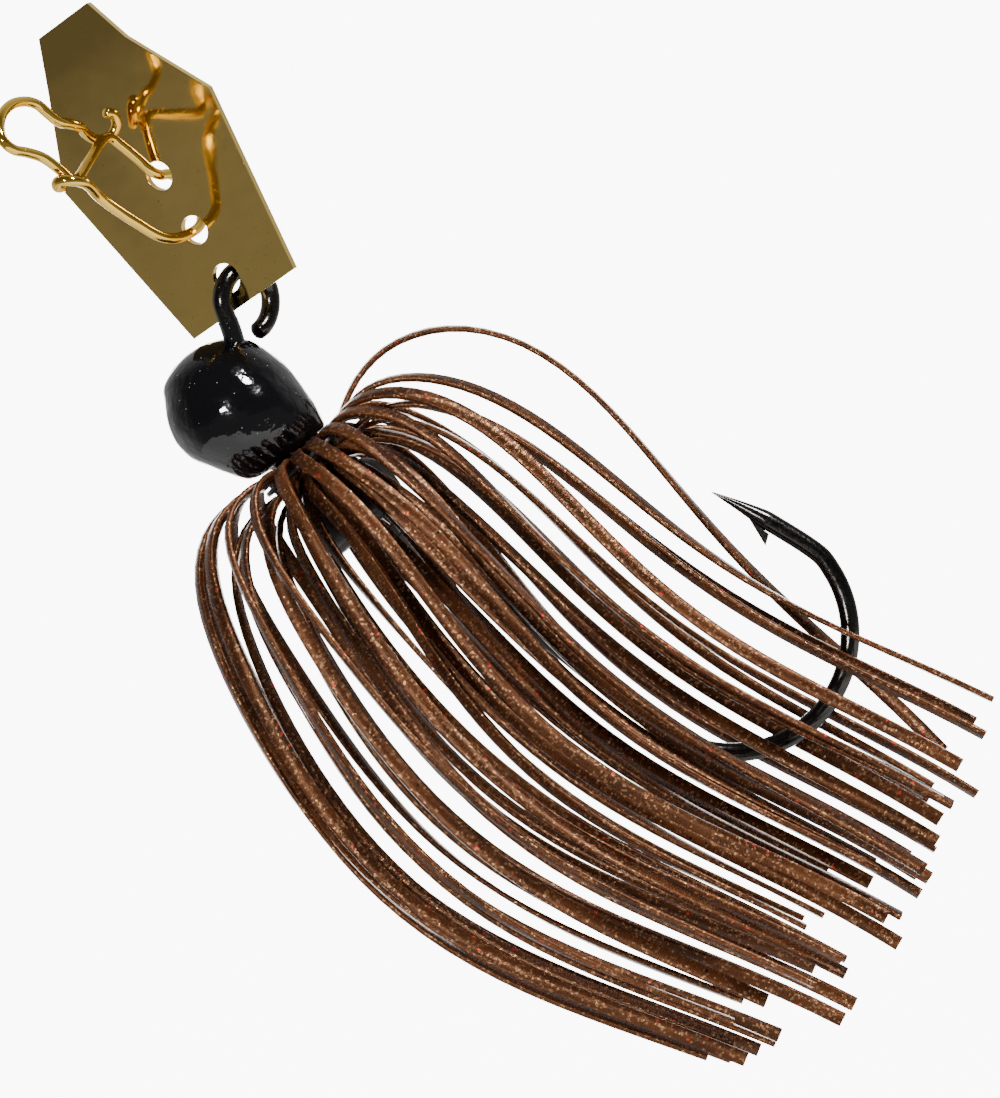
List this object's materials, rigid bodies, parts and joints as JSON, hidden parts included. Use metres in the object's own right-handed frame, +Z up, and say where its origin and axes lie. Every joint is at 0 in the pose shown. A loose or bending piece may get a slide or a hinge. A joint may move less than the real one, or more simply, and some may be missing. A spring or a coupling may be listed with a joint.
{
  "type": "bladed jig fishing lure",
  "caption": "Fishing lure with a wobbling gold blade on a wire snap, a black painted lead head on a single hook, and a brown silicone skirt.",
  "frame": {"origin": "the middle of the snap's line-tie loop, where the fishing line is tied and from which the lure hangs", "axes": "+Z up as the lure hangs, the hook's bend in an XZ plane with its point towards +X, the blade's open side faces -Y"},
  "size_m": [0.0586, 0.0276, 0.1027],
  "materials": {
    "gold_plate": "mirror gold plate on stamped sheet and wire",
    "black_nickel": "glossy black nickel plate on hook wire",
    "black_gloss_paint": "thick black gloss paint over cast lead",
    "black_rubber": "satin black rubber",
    "brown_silicone": "satin brown silicone with gold and red flake"
  },
  "bodies": {
    "snap": {"snap": "gold_plate"},
    "blade": {"blade": "gold_plate"},
    "jig": {"hook": "black_nickel", "head": "black_gloss_paint", "skirt_band": "black_rubber", "flare_collar": "black_rubber", "trailer_keeper": "black_rubber", "strand_01": "brown_silicone", "strand_02": "brown_silicone", "strand_03": "brown_silicone", "strand_04": "brown_silicone", "strand_05": "brown_silicone", "strand_06": "brown_silicone", "strand_07": "brown_silicone", "strand_08": "brown_silicone", "strand_09": "brown_silicone", "strand_10": "brown_silicone", "strand_11": "brown_silicone", "strand_12": "brown_silicone", "strand_13": "brown_silicone", "strand_14": "brown_silicone", "strand_15": "brown_silicone", "strand_16": "brown_silicone", "strand_17": "brown_silicone", "strand_18": "brown_silicone", "strand_19": "brown_silicone", "strand_20": "brown_silicone", "strand_21": "brown_silicone", "strand_22": "brown_silicone", "strand_23": "brown_silicone", "strand_24": "brown_silicone", "strand_25": "brown_silicone", "strand_26": "brown_silicone", "strand_27": "brown_silicone", "strand_28": "brown_silicone", "strand_29": "brown_silicone", "strand_30": "brown_silicone", "strand_31": "brown_silicone", "strand_32": "brown_silicone", "strand_33": "brown_silicone", "strand_34": "brown_silicone", "strand_35": "brown_silicone", "strand_36": "brown_silicone", "strand_37": "brown_silicone", "strand_38": "brown_silicone", "strand_39": "brown_silicone", "strand_40": "brown_silicone", "strand_41": "brown_silicone", "strand_42": "brown_silicone", "strand_43": "brown_silicone", "strand_44": "brown_silicone", "strand_45": "brown_silicone", "strand_46": "brown_silicone", "strand_47": "brown_silicone", "strand_48": "brown_silicone", "strand_49": "brown_silicone", "strand_50": "brown_silicone", "strand_51": "brown_silicone", "strand_52": "brown_silicone", "strand_53": "brown_silicone"}
  },
  "joints": [
    {"name": "snap_swing", "type": "hinge", "parent": "snap", "child": "blade", "pos_m": [0.00948, 0.00977, -0.01051], "axis": [0.1857, 0, -0.9826], "range_deg": [-40, 40]},
    {"name": "head_swing", "type": "hinge", "parent": "blade", "child": "jig", "pos_m": [0.01149, 0.011, -0.02026], "axis": [0.6528, -0.7071, -0.2717], "range_deg": [-70, 70]}
  ]
}
